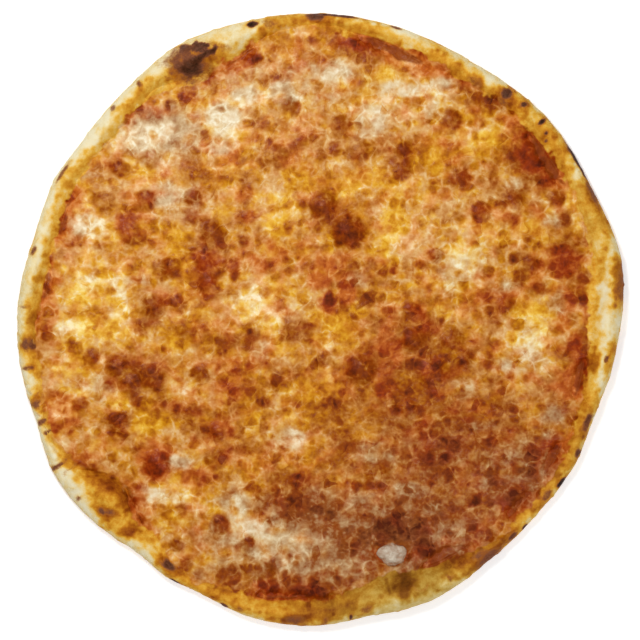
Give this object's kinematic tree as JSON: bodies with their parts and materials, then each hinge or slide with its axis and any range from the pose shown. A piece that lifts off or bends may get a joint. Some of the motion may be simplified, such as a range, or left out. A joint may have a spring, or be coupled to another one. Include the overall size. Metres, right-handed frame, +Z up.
{
  "type": "cheese pizza",
  "caption": "Whole round uncut cheese pizza with an uneven puffed rim, bare tomato sauce by the rim and melted cheese with browned blisters.",
  "frame": {"origin": "on the surface the pizza lies on, under the middle of its outline's bounding box", "axes": "+Z up, out of the cheese; +Y towards the top of the picture of it seen from straight above, +X to its right"},
  "size_m": [0.4082, 0.4126, 0.0218],
  "materials": {
    "crust": "matte baked dough, cream to golden with dark char marks",
    "sauce": "moist tomato sauce, dark red",
    "cheese": "oily melted cheese, cream to browned orange",
    "cheese_lump": "soft satin white cheese"
  },
  "bodies": {
    "root": {"crust": "crust", "sauce": "sauce", "cheese": "cheese", "cheese_lump": "cheese_lump"}
  },
  "joints": []
}
